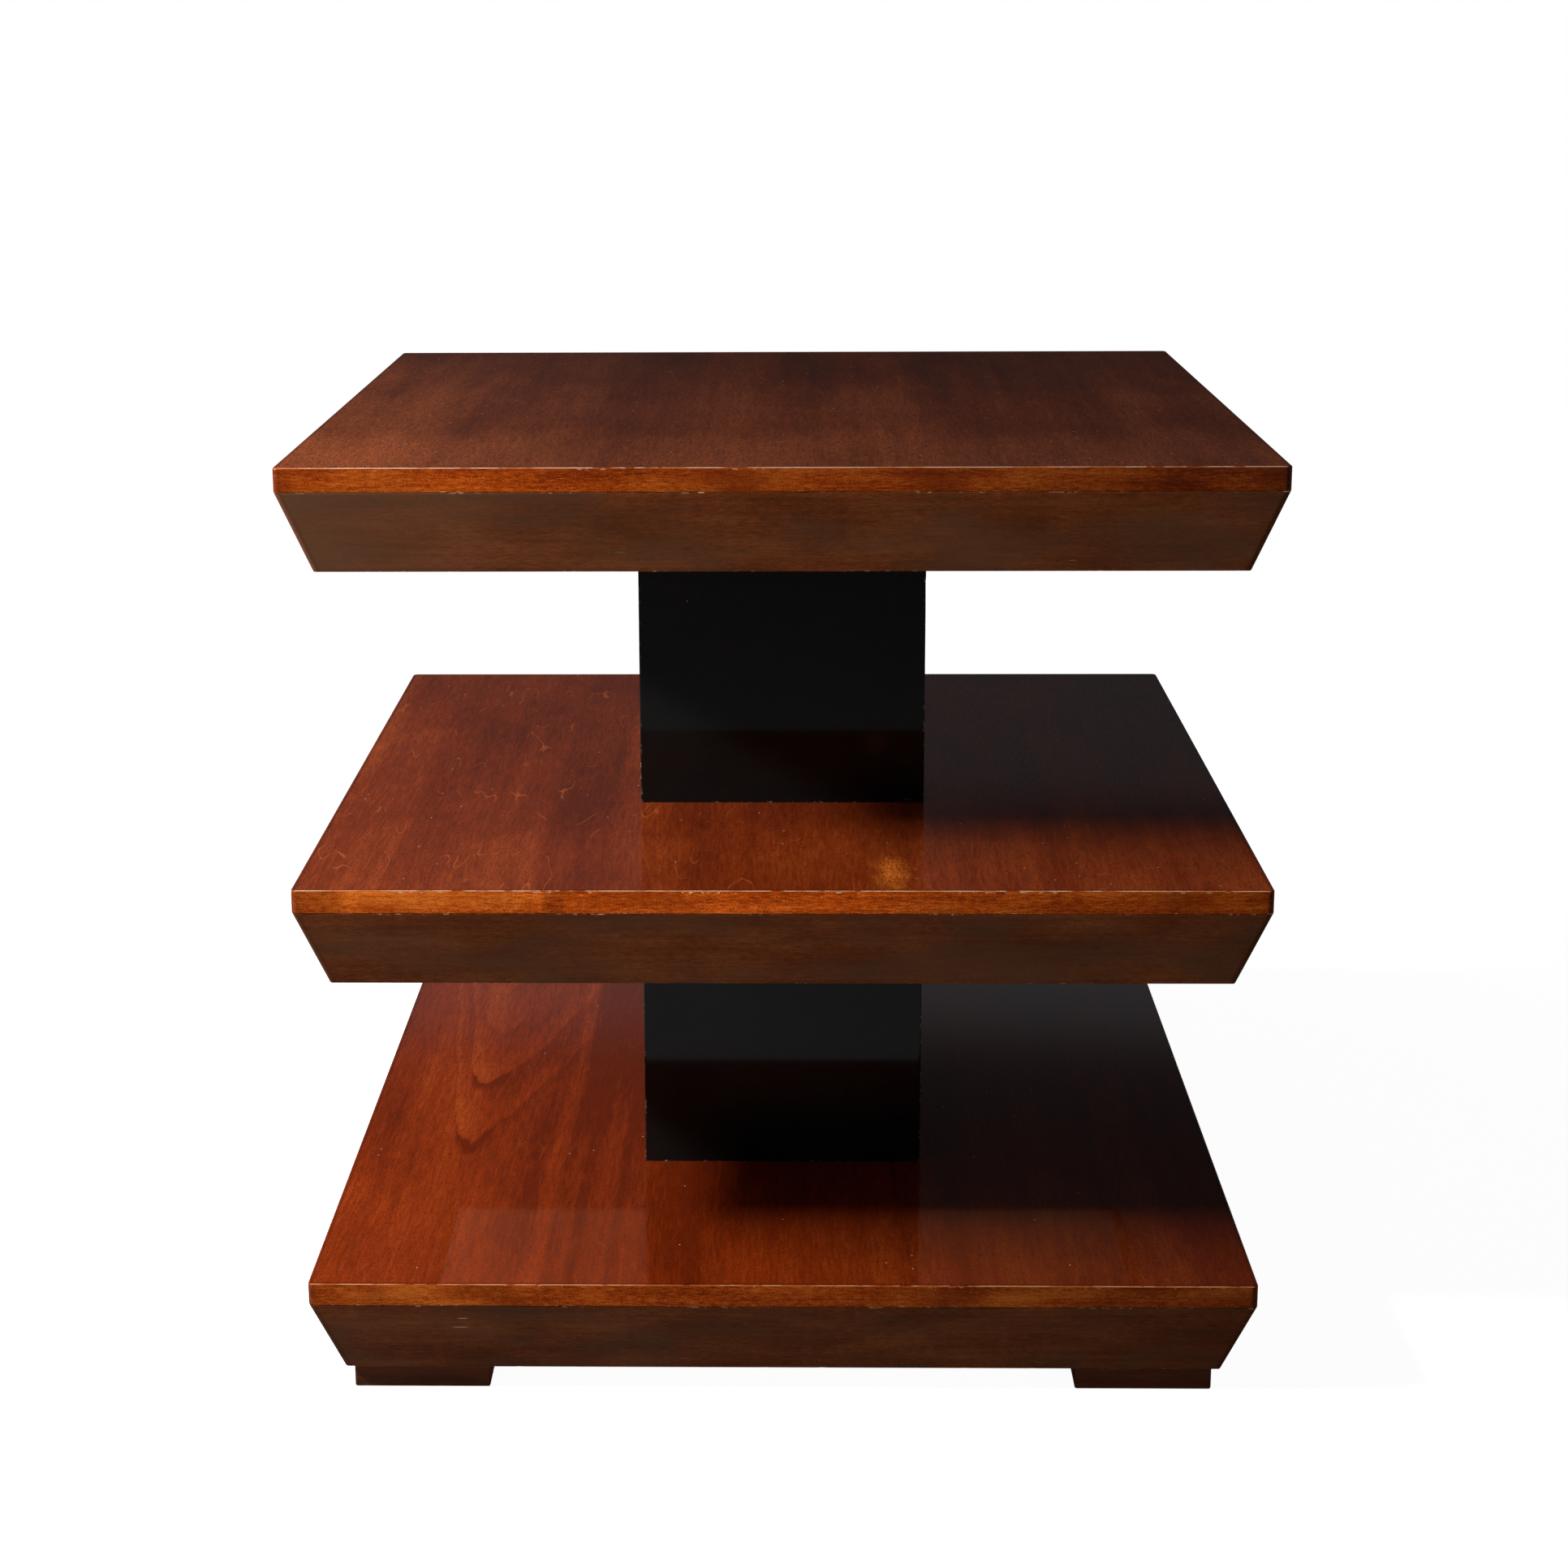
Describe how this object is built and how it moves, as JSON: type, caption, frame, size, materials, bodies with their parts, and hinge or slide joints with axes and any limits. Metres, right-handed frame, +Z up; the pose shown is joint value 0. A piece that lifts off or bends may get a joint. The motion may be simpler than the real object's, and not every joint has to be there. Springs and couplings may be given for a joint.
{
  "type": "tiered side table",
  "caption": "Square side table with stacked hollow tiers of stained wood on a black lacquered box column and low block feet; undercut mitred aprons.",
  "frame": {"origin": "on the floor, under the middle of the column", "axes": "+Z up, +X to the right of someone who faces the front, -Y towards them"},
  "size_m": [0.61, 0.61, 0.612],
  "materials": {
    "face_veneer": "red-brown stained figured veneer, grain front to back, gloss lacquer",
    "lipping_wood": "orange-brown stained solid edge lipping, gloss lacquer",
    "apron_wood": "dark brown stained veneer, grain level, satin-gloss lacquer",
    "soffit_ply": "dark stained plywood, matt",
    "carcass_wood": "bare softwood",
    "column_lacquer": "black lacquered board, semi-gloss",
    "foot_wood": "dark red-brown stained solid wood, satin",
    "steel": "zinc plated"
  },
  "bodies": {
    "root": {"top_tier_veneer": "face_veneer", "top_tier_panel": "carcass_wood", "top_tier_lipping_front": "lipping_wood", "top_tier_lipping_back": "lipping_wood", "top_tier_lipping_left": "lipping_wood", "top_tier_lipping_right": "lipping_wood", "top_tier_apron_front": "apron_wood", "top_tier_apron_back": "apron_wood", "top_tier_apron_left": "apron_wood", "top_tier_apron_right": "apron_wood", "top_tier_soffit": "soffit_ply", "top_tier_centre_block": "carcass_wood", "top_tier_corner_blocks": "carcass_wood", "middle_tier_veneer": "face_veneer", "middle_tier_panel": "carcass_wood", "middle_tier_lipping_front": "lipping_wood", "middle_tier_lipping_back": "lipping_wood", "middle_tier_lipping_left": "lipping_wood", "middle_tier_lipping_right": "lipping_wood", "middle_tier_apron_front": "apron_wood", "middle_tier_apron_back": "apron_wood", "middle_tier_apron_left": "apron_wood", "middle_tier_apron_right": "apron_wood", "middle_tier_soffit": "soffit_ply", "middle_tier_centre_block": "carcass_wood", "middle_tier_corner_blocks": "carcass_wood", "bottom_tier_veneer": "face_veneer", "bottom_tier_panel": "carcass_wood", "bottom_tier_lipping_front": "lipping_wood", "bottom_tier_lipping_back": "lipping_wood", "bottom_tier_lipping_left": "lipping_wood", "bottom_tier_lipping_right": "lipping_wood", "bottom_tier_apron_front": "apron_wood", "bottom_tier_apron_back": "apron_wood", "bottom_tier_apron_left": "apron_wood", "bottom_tier_apron_right": "apron_wood", "bottom_tier_soffit": "soffit_ply", "bottom_tier_centre_block": "carcass_wood", "bottom_tier_corner_blocks": "carcass_wood", "upper_column_front": "column_lacquer", "upper_column_back": "column_lacquer", "upper_column_left": "column_lacquer", "upper_column_right": "column_lacquer", "upper_column_battens": "carcass_wood", "upper_column_plugs": "carcass_wood", "lower_column_front": "column_lacquer", "lower_column_back": "column_lacquer", "lower_column_left": "column_lacquer", "lower_column_right": "column_lacquer", "lower_column_battens": "carcass_wood", "lower_column_plugs": "carcass_wood", "foot_front_left": "foot_wood", "foot_front_right": "foot_wood", "foot_back_left": "foot_wood", "foot_back_right": "foot_wood", "foot_screws": "steel", "tie_rod": "steel", "tie_rod_tee_nut": "steel", "tie_rod_washer": "steel", "tie_rod_nut": "steel"}
  },
  "joints": []
}
